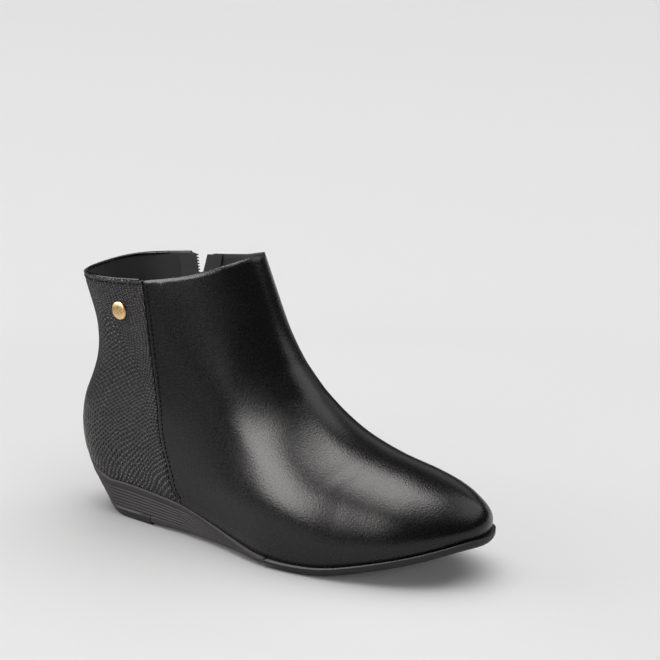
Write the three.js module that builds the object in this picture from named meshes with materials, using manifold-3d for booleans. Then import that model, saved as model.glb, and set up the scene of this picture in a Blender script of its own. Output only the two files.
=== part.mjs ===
// A woman's right wedge ankle boot, size 38, standing empty on its sole.
// Lengths are in millimetres. X runs from heel to toe, +Y is the inner (medial) side, Z is up.
import * as THREE from "three";
import { mergeVertices } from "three/addons/utils/BufferGeometryUtils.js";
import Module from "manifold-3d";

const wasm = await Module();
wasm.setup();

// Driving sizes of the last.
const lastLength = 250; // feather line, from the back of the heel seat to the toe
const ballWidth = 82.5; // across the feather line at the ball
const shaftWidth = 60; // across the shaft at the collar
const heelHeight = 25; // feather line above the floor at the back of the heel
const soleThickness = 4.6; // feather line above the floor at the ball
const toeSpring = 20.6; // how far the toe of the sole stands off the floor
const archLift = 3.2; // how far the arch stands off the floor where it is highest
const toeRound = 33; // length over which the plan outline closes at the toe
const heelRound = 26; // the same at the back of the heel
const ridgeDepth = 50; // depth over which the vamp rounds over from its ridge
const backRise = 113; // collar at the back, above the feather line
const vampRise = 135.6; // collar at the front, above the toe's feather line

// Walls, laps and clearances.
const wall = 2.4; // leather, interlining and lining of the upper
const counterThickness = 0.8; // embossed leather of the heel panel
const counterStep = 0.4; // the heel panel's face lies this far below the vamp's
const gap = 0.3; // between pieces that touch
const insoleGap = 0.5; // between the insole's edge and the wall
const lapGap = 0.5; // between the heel panel's end and the vamp's edge
const lapBevel = 0.5; // width over which the vamp's edge drops
const sideBulge = 2.2; // how far the forefoot wall stands out over the feather line
const bulgeHeight = 12; // height over which it does so
const insoleLevel = 0.03; // level of the insole's top face, as a share of the sections
const bulgeStarts = [0.12, 0.36]; // where the bulge begins, and is full, as shares of the last's length
const shaftBlend = 0.5; // height over which the foot's width turns to the shaft's, as a share of backRise
const shaftEnds = [0.55, 0.8]; // where the shaft's width gives way to the forefoot's, as such shares
const ridgeTurns = [0.5, 0.66]; // where the ridge's depth turns from slanting to upright, as such shares

// Sole. Places along it are shares of the last's length.
const heelLip = 0.3; // how far the sole's edge stands out from the feather line at the heel
const foreLip = 2.3; // the same at the forefoot
const heelRake = 16; // how far the back of the wedge runs forward on its way down
const rakeLength = 62; // length of the heel over which that dies out
const heelSqueeze = 0.17; // how much narrower the wedge is at the floor, as a share
const foreSqueeze = 0.025; // the same at the forefoot
const edgeRound = 2.2; // rounding of the lowest edge of the sole
const edgeRows = [0.9, 0.96, 1]; // rows of corners that draw it, as shares of the sole's height
const tipThickness = 5.4; // rubber top lift under the heel
const tipLength = 0.215; // its front end
const archTop = 0.5; // where the arch is highest
const waistEnd = 0.63; // where the ball begins to touch the floor
const tipStep = 1.9; // how far the top lift's front end stands under the waist
const skiveStart = 0.42; // back end of the forefoot sole, skived under the wedge
const skiveEnd = 0.575; // front end of the wedge
const skiveEdge = 0.8; // thickness of the wedge at its front end
const skiveTail = 1; // thickness of the forefoot sole at its back end
const ribCount = 7; // grooves in the side of the wedge
const ribDepth = 0.4;
const ribTop = 0.2; // first groove, as a share of the wedge's height from its top
const ribBottom = 0.72; // last groove
const ribHalf = 0.3; // half of a groove's width, as a share of their spacing
const ribEnds = [0.25, 0.5]; // where the grooves begin to fade, and are gone
const lipGrows = [0.3, 0.6]; // where the sole's edge begins to stand out, and stands out fully
const squeezeEnd = 0.24; // where the heel's narrowing has died out
const rakeCurve = 1.6; // how fast the rake dies out: 1 is even

// Zip on the inner side.
const zipWidth = 5.6; // slot in the upper
const zipMouth = 13.5; // slot at the collar, where the zip is run down a little
const zipFoot = 0.2; // level of the slot's lower end
const sliderLevel = 0.88; // level of the slider
const teethWidth = 2.3; // one row
const teethHeight = 1.6;
const tapeWidth = 9; // behind each edge of the slot
const tapeThickness = 0.6;
const sliderWidth = 6.6;
const sliderLength = 8.4;
const sliderPlate = 1.4;
const crownLength = 4.8;
const crownWidth = 1.6;
const crownWall = 0.8;
const pullLength = 18;
const pullWidth = 5;
const pullThickness = 1;
const pullPlay = 0.5; // at each side of the crown
const pullRim = 0.9; // round the eye

// Oval stud.
const badgeWidth = 9.6;
const badgeHeight = 10.6;
const badgeThickness = 1.5;
const badgeSeat = 0.35; // how far its flat back stands over the panel's face at its middle
const badgeAlong = 18; // behind the seam
const badgeLevel = 0.862;

// Outline of the feather line and run of the sole, station by station from heel to toe. at is a share of
// lastLength. centre, lateral and medial are shares of ballWidth. rise is a share of the heel's height over
// the ball, spring a share of toeSpring.
const stations = [
  { at: 0.0, centre: 0, lateral: 0.312, medial: 0.312, rise: 1.0, spring: 0 },
  { at: 0.05, centre: 0, lateral: 0.314, medial: 0.313, rise: 0.914, spring: 0 },
  { at: 0.14, centre: 0, lateral: 0.318, medial: 0.314, rise: 0.861, spring: 0 },
  { at: 0.215, centre: 0, lateral: 0.328, medial: 0.312, rise: 0.776, spring: 0 },
  { at: 0.31, centre: 0, lateral: 0.353, medial: 0.302, rise: 0.633, spring: 0 },
  { at: 0.428, centre: 0, lateral: 0.421, medial: 0.312, rise: 0.321, spring: 0 },
  { at: 0.524, centre: 0, lateral: 0.503, medial: 0.36, rise: 0.0625, spring: 0 },
  { at: 0.6, centre: 0.003, lateral: 0.548, medial: 0.415, rise: 0, spring: 0 },
  { at: 0.675, centre: 0.01, lateral: 0.548, medial: 0.45, rise: 0, spring: 0.005 },
  { at: 0.754, centre: 0.02, lateral: 0.52, medial: 0.447, rise: 0, spring: 0.16 },
  { at: 0.85, centre: 0.036, lateral: 0.463, medial: 0.408, rise: 0, spring: 0.46 },
  { at: 0.92, centre: 0.05, lateral: 0.408, medial: 0.372, rise: 0, spring: 0.7 },
  { at: 1.0, centre: 0.055, lateral: 0.35, medial: 0.34, rise: 0, spring: 1.0 },
];

// Sections of the upper, nearly level, from the feather line (level 0) to the collar (level 1).
// back and front are the ends of a section along X, as shares of lastLength. backUp and frontUp are the
// heights of these ends over the feather line, as shares of backRise and vampRise. seam and zip are where the
// heel panel ends on the outer and on the inner side, as shares of the section.
const profile = [
  { level: 0.0, back: -0.001, backUp: 0.0, front: 1.012, frontUp: 0, seam: 0.307, zip: 0.29 },
  { level: 0.06, back: -0.0165, backUp: 0.0529, front: 1.0175, frontUp: 0.048, seam: 0.293, zip: 0.275 },
  { level: 0.12, back: -0.026, backUp: 0.1314, front: 1.007, frontUp: 0.104, seam: 0.291, zip: 0.27 },
  { level: 0.18, back: -0.0275, backUp: 0.2079, front: 0.968, frontUp: 0.155, seam: 0.292, zip: 0.27 },
  { level: 0.25, back: -0.023, backUp: 0.2874, front: 0.9125, frontUp: 0.196, seam: 0.296, zip: 0.272 },
  { level: 0.33, back: -0.0125, backUp: 0.3751, front: 0.851, frontUp: 0.232, seam: 0.303, zip: 0.276 },
  { level: 0.42, back: 0.006, backUp: 0.4638, front: 0.7735, frontUp: 0.267, seam: 0.316, zip: 0.286 },
  { level: 0.52, back: 0.0235, backUp: 0.5667, front: 0.6885, frontUp: 0.331, seam: 0.332, zip: 0.3 },
  { level: 0.62, back: 0.0305, backUp: 0.6605, front: 0.611, frontUp: 0.441, seam: 0.356, zip: 0.318 },
  { level: 0.72, back: 0.029, backUp: 0.7502, front: 0.549, frontUp: 0.576, seam: 0.386, zip: 0.342 },
  { level: 0.82, back: 0.0195, backUp: 0.8369, front: 0.5045, frontUp: 0.722, seam: 0.42, zip: 0.37 },
  { level: 0.91, back: 0.0055, backUp: 0.9205, front: 0.4755, frontUp: 0.862, seam: 0.453, zip: 0.4 },
  { level: 1.0, back: -0.009, backUp: 1.0, front: 0.445, frontUp: 1.0, seam: 0.487, zip: 0.43 },
];

// The same sections across: lateral and medial are half widths of the shaft, as shares of shaftWidth. heel is
// the length over which the back rounds, as a share of heelRound, and brow the depth over which the front
// rounds, as a share of ridgeDepth.
const girth = [
  { level: 0.0, lateral: 0.43, medial: 0.43, heel: 1.0, brow: 1.0 },
  { level: 0.06, lateral: 0.46, medial: 0.455, heel: 1.0, brow: 1.0 },
  { level: 0.12, lateral: 0.48, medial: 0.475, heel: 1.0, brow: 1.0 },
  { level: 0.18, lateral: 0.495, medial: 0.485, heel: 1.0, brow: 1.0 },
  { level: 0.25, lateral: 0.503, medial: 0.49, heel: 1.0, brow: 1.0 },
  { level: 0.33, lateral: 0.505, medial: 0.49, heel: 0.98, brow: 1.0 },
  { level: 0.42, lateral: 0.5, medial: 0.487, heel: 0.96, brow: 1.0 },
  { level: 0.52, lateral: 0.492, medial: 0.483, heel: 0.94, brow: 1.02 },
  { level: 0.62, lateral: 0.487, medial: 0.48, heel: 0.93, brow: 1.08 },
  { level: 0.72, lateral: 0.486, medial: 0.482, heel: 0.93, brow: 1.16 },
  { level: 0.82, lateral: 0.488, medial: 0.486, heel: 0.94, brow: 1.26 },
  { level: 0.91, lateral: 0.493, medial: 0.492, heel: 0.96, brow: 1.36 },
  { level: 1.0, lateral: 0.5, medial: 0.5, heel: 1.0, brow: 1.45 },
];

// How far the collar's edge hangs below the straight line from back to front, as shares of backRise.
const collar = [
  { along: 0.0, lateral: 0, medial: 0 },
  { along: 0.05, lateral: -0.007, medial: -0.007 },
  { along: 0.14, lateral: 0.001, medial: -0.002 },
  { along: 0.25, lateral: 0.02, medial: 0.007 },
  { along: 0.37, lateral: 0.036, medial: 0.011 },
  { along: 0.5, lateral: 0.046, medial: 0.026 },
  { along: 0.63, lateral: 0.045, medial: 0.035 },
  { along: 0.76, lateral: 0.038, medial: 0.036 },
  { along: 0.9, lateral: 0.017, medial: 0.02 },
  { along: 1.0, lateral: 0, medial: 0 },
];

// Grid of the upper: columns from the back to the front of each side, and levels.
const panelColumns = 10; // back to seam
const vampColumns = 15; // zip slot to front
const levelCount = 20;
const lowSpacing = 0.55; // spacing at the feather line, as a share of even spacing
const spacingCurve = 0.7; // how fast it widens upwards
const sideColumns = panelColumns + 3 + vampColumns;
const around = 2 * sideColumns;

const mix = (a, b, t) => a + (b - a) * t;
const clamp = THREE.MathUtils.clamp;
const smooth = THREE.MathUtils.smoothstep;

// Value of one column of a table at a place, through its rows, without overshoot.
function through(rows, place, column, at) {
  const last = rows.length - 1;
  const slope = (i) => (rows[i + 1][column] - rows[i][column]) / (rows[i + 1][place] - rows[i][place]);
  const tangent = (i) => {
    if (i === 0) return slope(0);
    if (i === last) return slope(last - 1);
    const [a, b] = [slope(i - 1), slope(i)];
    return a * b <= 0 ? 0 : (2 * a * b) / (a + b);
  };
  const here = clamp(at, rows[0][place], rows[last][place]);
  let i = rows.findIndex((row) => row[place] > here) - 1;
  if (i < 0) i = last - 1;
  const width = rows[i + 1][place] - rows[i][place];
  const t = (here - rows[i][place]) / width;
  return (
    rows[i][column] * (1 + 2 * t) * (1 - t) ** 2 +
    tangent(i) * width * t * (1 - t) ** 2 +
    rows[i + 1][column] * t * t * (3 - 2 * t) +
    tangent(i + 1) * width * t * t * (t - 1)
  );
}

const station = (column, x) => through(stations, "at", column, x / lastLength);
const section = (column, level) => through(column in girth[0] ? girth : profile, "level", column, level);

// Height of the feather line and of the sole's underside at x.
const featherHeight = (x) =>
  soleThickness + station("rise", x) * (heelHeight - soleThickness) + station("spring", x) * toeSpring;
const underside = (x) => station("spring", x) * toeSpring;

// A quarter of an ellipse: 0 at the edge, 1 once the depth is reached.
const rounded = (distance, depth) => Math.sqrt(1 - (1 - clamp(distance / depth, 0, 1)) ** 2);

const backEnd = (level) => [
  section("back", level) * lastLength,
  heelHeight + section("backUp", level) * backRise,
];
const toeHeight = featherHeight(lastLength);
const frontEnd = (level) => [
  section("front", level) * lastLength,
  toeHeight + section("frontUp", level) * vampRise,
];

// The two ends of the sections, followed once in small steps so that a level can be looked up.
const traceSteps = 2000;
const traceLevels = Array.from({ length: traceSteps + 1 }, (_, i) => i / traceSteps);
const backTrace = traceLevels.map(backEnd);
const frontTrace = traceLevels.map(frontEnd);

// The level at which a traced end passes a value of X or Z. The value only rises, or only falls.
function levelWhere(trace, axis, value) {
  const rising = trace[traceSteps][axis] > trace[0][axis];
  let [low, high] = [0, traceSteps];
  while (high - low > 1) {
    const middle = (low + high) >> 1;
    if (trace[middle][axis] > value === rising) high = middle;
    else low = middle;
  }
  const share = (value - trace[low][axis]) / (trace[high][axis] - trace[low][axis]);
  return (low + clamp(share, 0, 1)) / traceSteps;
}

// Half width of the boot at a point of its side view.
function halfWidth(side, x, z) {
  const over = z - featherHeight(clamp(x, 0, lastLength));
  const backLevel = levelWhere(backTrace, 1, z);
  const frontLevel = levelWhere(frontTrace, 1, z);
  const shaftShare = clamp((z - heelHeight) / backRise, 0, 1);
  const foot = station(side, clamp(x, 0, lastLength)) * ballWidth;
  const share = x / lastLength;
  const bulge = sideBulge * (1 - (1 - clamp(over / bulgeHeight, 0, 1)) ** 2) * smooth(share, ...bulgeStarts);
  const shaft = section(side, backLevel) * shaftWidth;
  const toShaft = smooth(shaftShare, 0, shaftBlend) * (1 - smooth(share, ...shaftEnds));
  const width = mix(foot + bulge, shaft, toShaft);

  const heelDepth = section("heel", backLevel) * heelRound;
  const fromBack = rounded(x - backEnd(backLevel)[0], heelDepth);
  const toeEnd = rounded(Math.max(lastLength, frontEnd(frontLevel)[0]) - x, toeRound);

  const ahead = frontEnd(frontLevel)[0] - x;
  const browDepth = section("brow", frontLevel) * ridgeDepth;
  if (x <= frontEnd(1)[0]) return width * fromBack * rounded(ahead, browDepth);
  const ridge = frontEnd(levelWhere(frontTrace, 0, x))[1];
  const height = ridge - featherHeight(x);
  const below = ridge - z;
  const slanted = (below * ahead) / Math.max(Math.hypot(below, ahead), 1e-6);
  const toFoot = smooth(share, ...ridgeTurns);
  const depth = mix(slanted, below, toFoot);
  const round = mix(browDepth, Math.min(height, ridgeDepth), toFoot);
  return width * fromBack * toeEnd * rounded(depth, round);
}

// A point of the outer face. turn runs from 0 at the back to pi at the front on the inner side, and back
// through 2 pi, or minus, on the outer side.
function facePoint(turn, level) {
  const angle = Math.atan2(Math.sin(turn), Math.cos(turn));
  const side = angle < 0 ? "lateral" : "medial";
  const along = (1 - Math.cos(angle)) / 2;
  const [backX, backZ] = backEnd(level);
  const [frontX, frontZ] = frontEnd(level);
  const x = mix(backX, frontX, along);
  const footX = clamp(mix(backEnd(0)[0], frontEnd(0)[0], along), 0, lastLength);
  const sag = featherHeight(footX) - mix(backEnd(0)[1], frontEnd(0)[1], along);
  const hang = through(collar, "along", side, along) * backRise;
  const z = mix(backZ, frontZ, along) + sag * (1 - level) ** 2 - hang * level ** 3;
  const closed = along < 1e-9 || along > 1 - 1e-9;
  const centre = station("centre", clamp(x, 0, lastLength)) * ballWidth;
  const half = closed ? 0 : halfWidth(side, x, z);
  return new THREE.Vector3(x, centre + (side === "medial" ? half : -half), z);
}

// Outward normal of the outer face.
function faceNormal(turn, level) {
  const small = 0.02;
  const low = Math.max(level - small, 0);
  const high = Math.min(level + small, 1);
  const across = facePoint(turn + small, level).sub(facePoint(turn - small, level));
  const up = facePoint(turn, high).sub(facePoint(turn, low));
  return up.cross(across).normalize();
}

// The face moved outward by a distance.
const offsetPoint = (turn, level, out) =>
  facePoint(turn, level).addScaledVector(faceNormal(turn, level), out);

// Turn, without its sign, of a place that lies a distance in front of the heel panel's end. The panel ends
// at the "seam" on the outer side and at the "zip" on the inner side.
function turnAhead(line, level, ahead) {
  const length = frontEnd(level)[0] - backEnd(level)[0];
  const along = section(line, level) + ahead / length;
  return Math.acos(1 - 2 * along);
}

// Width of the zip's slot: it opens above the slider.
const slotWidth = (level) => mix(zipWidth, zipMouth, smooth(level, sliderLevel, 1));

// Turn of a grid column, 0 at the back and sideColumns at the front, on either side.
function columnTurn(column, level) {
  const index = ((column % around) + around) % around;
  const onInner = index <= sideColumns;
  const step = onInner ? index : around - index;
  const line = onInner ? "zip" : "seam";
  const panelEnd = turnAhead(line, level, -lapGap);
  const slotFront = turnAhead(line, level, slotWidth(level));
  let turn;
  if (step <= panelColumns) turn = (panelEnd * step) / panelColumns;
  else if (step === panelColumns + 1) turn = turnAhead(line, level, 0);
  else if (step === panelColumns + 2) turn = turnAhead(line, level, lapBevel);
  else turn = mix(slotFront, Math.PI, (step - panelColumns - 3) / vampColumns);
  return onInner ? turn : -turn;
}

// Levels of the grid, closer together near the feather line.
const gridLevel = (row) => {
  const share = row / levelCount;
  return share * mix(lowSpacing, 1, share ** spacingCurve);
};

// A closed solid from a list of triangles' corners.
function solidGeometry(corners) {
  const positions = corners.flatMap((p) => [p.x, p.y, p.z]);
  const geometry = new THREE.BufferGeometry();
  geometry.setAttribute("position", new THREE.Float32BufferAttribute(positions, 3));
  return geometry;
}

function quad(corners, a, b, c, d) {
  corners.push(a, b, c, a, c, d);
}

// A thick sheet over some cells of a grid: an outer and an inner skin, and a rim round every open edge.
// cells lists [row, column]; point(row, column, outer) gives a corner. wrap is the number of columns of a
// grid that closes on itself.
function thickSheet(cells, point, wrap = 0) {
  const corners = [];
  const edges = new Map();
  const name = ([row, column]) => row + "/" + (wrap ? column % wrap : column);
  const outer = (at) => point(at[0], at[1], true);
  const inner = (at) => point(at[0], at[1], false);
  for (const [row, column] of cells) {
    const loop = [
      [row, column],
      [row, column + 1],
      [row + 1, column + 1],
      [row + 1, column],
    ];
    quad(corners, ...loop.map(inner));
    const [a, b, c, d] = loop.map(outer);
    quad(corners, c, b, a, d);
    loop.forEach((from, i) => {
      const to = loop[(i + 1) % 4];
      const back = name(to) + ">" + name(from);
      if (edges.has(back)) edges.delete(back);
      else edges.set(name(from) + ">" + name(to), [from, to]);
    });
  }
  for (const [from, to] of edges.values())
    quad(corners, inner(to), inner(from), outer(from), outer(to));
  return solidGeometry(corners);
}

// A closed solid from rings of equal size, the first and last ring each closed by strips that join
// point i to point n - i, straight across the foot.
function ringedSolid(rings) {
  const corners = [];
  const count = rings[0].length;
  const half = count / 2;
  for (let k = 0; k + 1 < rings.length; k += 1)
    for (let i = 0; i < count; i += 1) {
      const j = (i + 1) % count;
      quad(corners, rings[k][i], rings[k][j], rings[k + 1][j], rings[k + 1][i]);
    }
  const cap = (ring, flip) => {
    for (let i = 0; i < half; i += 1) {
      const [a, b] = [ring[i], ring[i + 1]];
      const [c, d] = [ring[(count - i - 1) % count], ring[(count - i) % count]];
      const face = flip ? [d, c, b, a] : [a, b, c, d];
      if (i === 0) corners.push(...(flip ? [c, b, a] : [a, b, c]));
      else if (i === half - 1) corners.push(...(flip ? [d, b, a] : [a, b, d]));
      else quad(corners, ...face);
    }
  };
  cap(rings[0], true);
  cap(rings[rings.length - 1], false);
  return solidGeometry(corners);
}

// Between a three.js geometry and a manifold-3d solid.
function toSolid(geometry) {
  const bare = geometry.clone();
  bare.deleteAttribute("normal");
  bare.deleteAttribute("uv");
  const merged = mergeVertices(bare, 1e-4);
  return new wasm.Manifold(
    new wasm.Mesh({
      numProp: 3,
      vertProperties: merged.attributes.position.array,
      triVerts: new Uint32Array(merged.index.array),
    }),
  );
}

function fromSolid(solid) {
  const mesh = solid.getMesh();
  const geometry = new THREE.BufferGeometry();
  geometry.setAttribute("position", new THREE.BufferAttribute(new Float32Array(mesh.vertProperties), 3));
  geometry.setIndex(new THREE.BufferAttribute(new Uint32Array(mesh.triVerts), 1));
  return geometry;
}

// A prism whose outline is given in the side view (X, Z), reaching across the whole foot.
function sidePrism(outline) {
  const reach = ballWidth;
  const shape = new THREE.Shape(outline.map(([x, z]) => new THREE.Vector2(x, z)));
  const geometry = new THREE.ExtrudeGeometry(shape, { depth: 2 * reach, bevelEnabled: false });
  geometry.rotateX(Math.PI / 2);
  geometry.translate(0, reach, 0);
  return toSolid(geometry);
}

// The upper, without the heel panel. Its outer face drops where that panel lies.
function makeUpper() {
  const recess = counterStep + counterThickness + gap;
  const inSlot = (row, column) => {
    const [from, to] = [panelColumns + 1, panelColumns + 3];
    return column >= from && column < to && gridLevel(row) >= zipFoot;
  };
  const cells = [];
  for (let row = 0; row < levelCount; row += 1)
    for (let column = 0; column < around; column += 1)
      if (!inSlot(row, column)) cells.push([row, column]);
  const point = (row, column, outer) => {
    const index = column % around;
    const step = index <= sideColumns ? index : around - index;
    const level = gridLevel(row);
    const out = step <= panelColumns + 1 ? -recess : 0;
    return offsetPoint(columnTurn(index, level), level, outer ? out : -wall);
  };
  return thickSheet(cells, point, around);
}

// The embossed heel panel, from the lateral seam round the back to the zip.
function makeCounter() {
  const cells = [];
  for (let row = 0; row < levelCount; row += 1)
    for (let column = -panelColumns; column < panelColumns; column += 1) cells.push([row, column]);
  const point = (row, column, outer) => {
    const level = gridLevel(row);
    const out = outer ? -counterStep : -counterStep - counterThickness;
    return offsetPoint(columnTurn(column, level), level, out);
  };
  return thickSheet(cells, point);
}

// The sock lining on its board, held by the foot of the upper.
function makeInsole() {
  const ring = (level) =>
    Array.from({ length: around }, (_, i) => offsetPoint(columnTurn(i, level), level, -wall - insoleGap));
  return ringedSolid([ring(insoleLevel), ring(0)]);
}

// Edge of the sole at a column, at a share of its height from the top. Grooves run round the wedge.
function solePoint(column, down, groove) {
  const turn = columnTurn(column, 0);
  const feather = facePoint(turn, 0);
  const small = 0.01;
  const run = facePoint(turn + small, 0).sub(facePoint(turn - small, 0));
  const out = new THREE.Vector3(-run.y, run.x, 0).normalize();
  const share = feather.x / lastLength;
  const lip = mix(heelLip, foreLip, smooth(share, ...lipGrows));
  const depth = groove * ribDepth * (1 - smooth(share, ...ribEnds));
  const point = feather.addScaledVector(out, lip - depth);
  const rear = Math.max(0, 1 - point.x / rakeLength) ** rakeCurve;
  const squeeze = mix(heelSqueeze, foreSqueeze, smooth(point.x / lastLength, 0, squeezeEnd));
  const x = point.x + heelRake * rear * down;
  const top = featherHeight(clamp(point.x, 0, lastLength)) - gap;
  const bottom = underside(clamp(x, 0, lastLength));
  const curl = (edgeRound / 2) * Math.max(0, 1 - ((1 - down) * (top - bottom)) / edgeRound) ** 2;
  const centre = station("centre", clamp(x, 0, lastLength)) * ballWidth;
  const y = centre + (point.y - centre) * (1 - squeeze * down);
  return new THREE.Vector3(x, y, mix(top, bottom, down)).addScaledVector(out, -curl);
}

// The whole sole as one block, cut afterwards into wedge, top lift and forefoot.
function soleBlock() {
  const heights = [{ down: 0, groove: 0 }];
  const pitch = (ribBottom - ribTop) / (ribCount - 1);
  for (let i = 0; i < ribCount; i += 1) {
    const middle = ribTop + i * pitch;
    heights.push({ down: middle - ribHalf * pitch, groove: 0 });
    heights.push({ down: middle, groove: 1 });
    heights.push({ down: middle + ribHalf * pitch, groove: 0 });
  }
  for (const down of edgeRows) heights.push({ down, groove: 0 });
  const rings = heights.map(({ down, groove }) =>
    Array.from({ length: around }, (_, i) => solePoint(i, down, groove)),
  );
  return toSolid(ringedSolid(rings));
}

// Side view of the space that the top lift takes, grown by a clearance.
function tipPrism(grown) {
  const front = tipLength * lastLength + grown;
  return sidePrism([
    [-2 * heelRound, -1],
    [front, -1],
    [front, tipThickness + grown],
    [-2 * heelRound, tipThickness + grown],
  ]);
}

// Side view of the space that the forefoot sole takes: its back end is skived under the wedge.
function forePrism(grown) {
  const tail = skiveStart * lastLength - grown;
  const lap = skiveEnd * lastLength;
  const high = 3 * heelHeight;
  return sidePrism([
    [tail, -1],
    [1.1 * lastLength, -1],
    [1.1 * lastLength, high],
    [lap - grown, high],
    [lap - grown, featherHeight(lap) - skiveEdge + grown],
    [tail, archLift + skiveTail + grown],
  ]);
}

// Side view of the space under the arch, from the top lift's front end to the ball.
function waistPrism() {
  const front = tipLength * lastLength;
  return sidePrism([
    [front, -1],
    [waistEnd * lastLength, -1],
    [waistEnd * lastLength, 0],
    [archTop * lastLength, archLift],
    [front, tipStep],
  ]);
}

function makeSoles() {
  const block = soleBlock().subtract(waistPrism());
  const wedge = block.subtract(tipPrism(gap)).subtract(forePrism(gap));
  const tip = block.intersect(tipPrism(0));
  const fore = block.intersect(forePrism(0));
  return { wedge, tip, fore };
}

// A strip beside the zip's slot, in the wall's own levels. The edges are distances in front of the seam.
function zipStrip(levels, edgesAt, outerOut, innerOut) {
  const columns = edgesAt(levels[0]).length - 1;
  const cells = [];
  for (let row = 0; row + 1 < levels.length; row += 1)
    for (let column = 0; column < columns; column += 1) cells.push([row, column]);
  const point = (row, column, outer) => {
    const level = levels[row];
    const turn = turnAhead("zip", level, edgesAt(level)[column]);
    return offsetPoint(turn, level, outer ? outerOut : innerOut);
  };
  return thickSheet(cells, point);
}

// Levels of the grid from the slot's lower end up to the collar. The teeth stop short of that end.
const zipLevels = Array.from({ length: levelCount + 1 }, (_, row) => gridLevel(row)).filter(
  (level) => level >= zipFoot,
);
const teethLevels = zipLevels.map((level, i) => (i === 0 ? level + (2 * gap) / backRise : level));

// The two woven tapes, sewn behind the slot's edges.
function makeTape(front) {
  const [outer, inner] = [-wall - gap, -wall - gap - tapeThickness];
  const edges = (level) => {
    const width = slotWidth(level);
    const inSlot = gap + teethWidth;
    return front ? [width - inSlot, width, width + tapeWidth] : [-tapeWidth, 0, inSlot];
  };
  return zipStrip(zipLevels, edges, outer, inner);
}

// One row of teeth, as a bead on its tape. Each row keeps to its own edge of the slot.
function makeTeeth(front) {
  const edges = (level) => {
    const width = slotWidth(level);
    return front ? [width - gap - teethWidth, width - gap] : [gap, gap + teethWidth];
  };
  return zipStrip(teethLevels, edges, teethHeight - wall, -wall);
}

// A frame on the outer face: X towards the heel, Y up along the face, Z straight out.
function faceFrame(turn, level) {
  const small = 0.02;
  const out = faceNormal(turn, level);
  const rising = facePoint(turn, level + small).sub(facePoint(turn, level - small));
  const across = rising.cross(out).normalize();
  const up = out.clone().cross(across);
  return new THREE.Matrix4().makeBasis(across, up, out).setPosition(facePoint(turn, level));
}

const sliderFrame = () =>
  faceFrame(turnAhead("zip", sliderLevel, slotWidth(sliderLevel) / 2), sliderLevel);

// Height of the pull's pivot over the outer face.
const pivotHeight = gap + sliderPlate + gap + pullThickness / 2;

// The slider's plate, with the crown that the pull hangs in.
function makeSlider() {
  const [w, h] = [sliderWidth / 2, sliderLength / 2];
  const plan = new THREE.Shape();
  plan.moveTo(-0.7 * w, -h);
  plan.lineTo(0.7 * w, -h);
  plan.lineTo(w, 0.4 * h);
  plan.quadraticCurveTo(w, h, 0.6 * w, h);
  plan.lineTo(-0.6 * w, h);
  plan.quadraticCurveTo(-w, h, -w, 0.4 * h);
  plan.closePath();
  const plateStyle = { depth: sliderPlate, bevelEnabled: false, curveSegments: 4 };
  const plate = new THREE.ExtrudeGeometry(plan, plateStyle);
  plate.translate(0, 0, gap);

  const outer = crownLength / 2;
  const inner = outer - crownWall;
  const roof = pivotHeight + pullThickness / 2 + gap;
  const side = new THREE.Shape();
  side.moveTo(-outer, gap + sliderPlate / 2);
  side.lineTo(-inner, gap + sliderPlate / 2);
  side.lineTo(-inner, roof);
  side.lineTo(inner, roof);
  side.lineTo(inner, gap + sliderPlate / 2);
  side.lineTo(outer, gap + sliderPlate / 2);
  side.lineTo(outer, roof + crownWall / 2);
  side.lineTo(inner, roof + crownWall);
  side.lineTo(-inner, roof + crownWall);
  side.lineTo(-outer, roof + crownWall / 2);
  side.closePath();
  const crown = new THREE.ExtrudeGeometry(side, { depth: crownWidth, bevelEnabled: false });
  crown.translate(0, 0, -crownWidth / 2);
  crown.applyMatrix4(new THREE.Matrix4().set(0, 0, 1, 0, 1, 0, 0, 0, 0, 1, 0, 0, 0, 0, 0, 1));
  return fromSolid(toSolid(plate).add(toSolid(crown)));
}

// The pull: a flat tab whose eye runs through the crown. Its pivot is the origin.
function makePull() {
  const half = pullThickness / 2;
  const eyeSide = crownWidth / 2 + pullPlay;
  const eyeEnd = -crownLength / 2 - 4 * gap;
  const plan = new THREE.Shape();
  plan.moveTo(-eyeSide - pullRim, half);
  plan.lineTo(-eyeSide - pullRim, eyeEnd - pullRim);
  plan.absarc(0, -pullLength + pullWidth / 2, pullWidth / 2, Math.PI, 2 * Math.PI, false);
  plan.lineTo(eyeSide + pullRim, eyeEnd - pullRim);
  plan.lineTo(eyeSide + pullRim, half);
  plan.closePath();
  const eye = new THREE.Path();
  eye.moveTo(-eyeSide, -half);
  eye.lineTo(eyeSide, -half);
  eye.lineTo(eyeSide, eyeEnd);
  eye.lineTo(-eyeSide, eyeEnd);
  eye.closePath();
  plan.holes.push(eye);
  const tabStyle = { depth: pullThickness, bevelEnabled: false, curveSegments: 6 };
  const tab = new THREE.ExtrudeGeometry(plan, tabStyle);
  return tab.translate(0, 0, -half);
}

// A plain oval stud near the collar, on the outer side.
function makeBadge() {
  const profile = [
    [0, 0],
    [0.92, 0],
    [1, 0.3],
    [0.95, 0.62],
    [0.8, 0.85],
    [0.5, 0.97],
    [0, 1],
  ].map(([r, h]) => new THREE.Vector2((r * badgeHeight) / 2, h * badgeThickness));
  const stud = new THREE.LatheGeometry(profile, 28);
  return stud.rotateX(Math.PI / 2).scale(badgeWidth / badgeHeight, 1, 1);
}

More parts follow.
